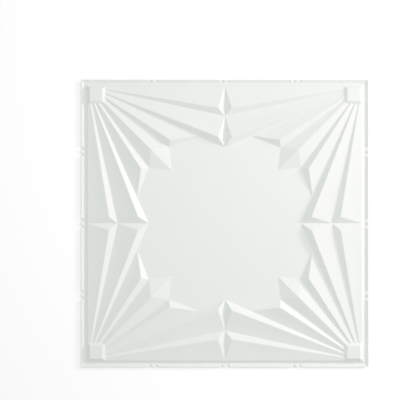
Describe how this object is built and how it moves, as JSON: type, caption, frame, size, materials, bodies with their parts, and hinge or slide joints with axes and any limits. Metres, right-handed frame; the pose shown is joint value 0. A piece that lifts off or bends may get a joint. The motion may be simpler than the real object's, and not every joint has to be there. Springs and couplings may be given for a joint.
{
  "type": "lay-in ceiling tile",
  "caption": "Square one-piece formed plastic ceiling tile with raised sunburst fans in its corners, a flat star-shaped field and a channelled rim that lies in a ceiling grid.",
  "frame": {"origin": "bottom centre of the tile as it lies face up, on the underside of the rim's channel", "axes": "+Z out of the decorated face, X and Y along the tile's edges"},
  "size_m": [0.603, 0.603, 0.013],
  "materials": {
    "formed_sheet": "satin white, smooth, thermoformed rigid PVC sheet"
  },
  "bodies": {
    "root": {"ceiling_tile": "formed_sheet"}
  },
  "joints": []
}
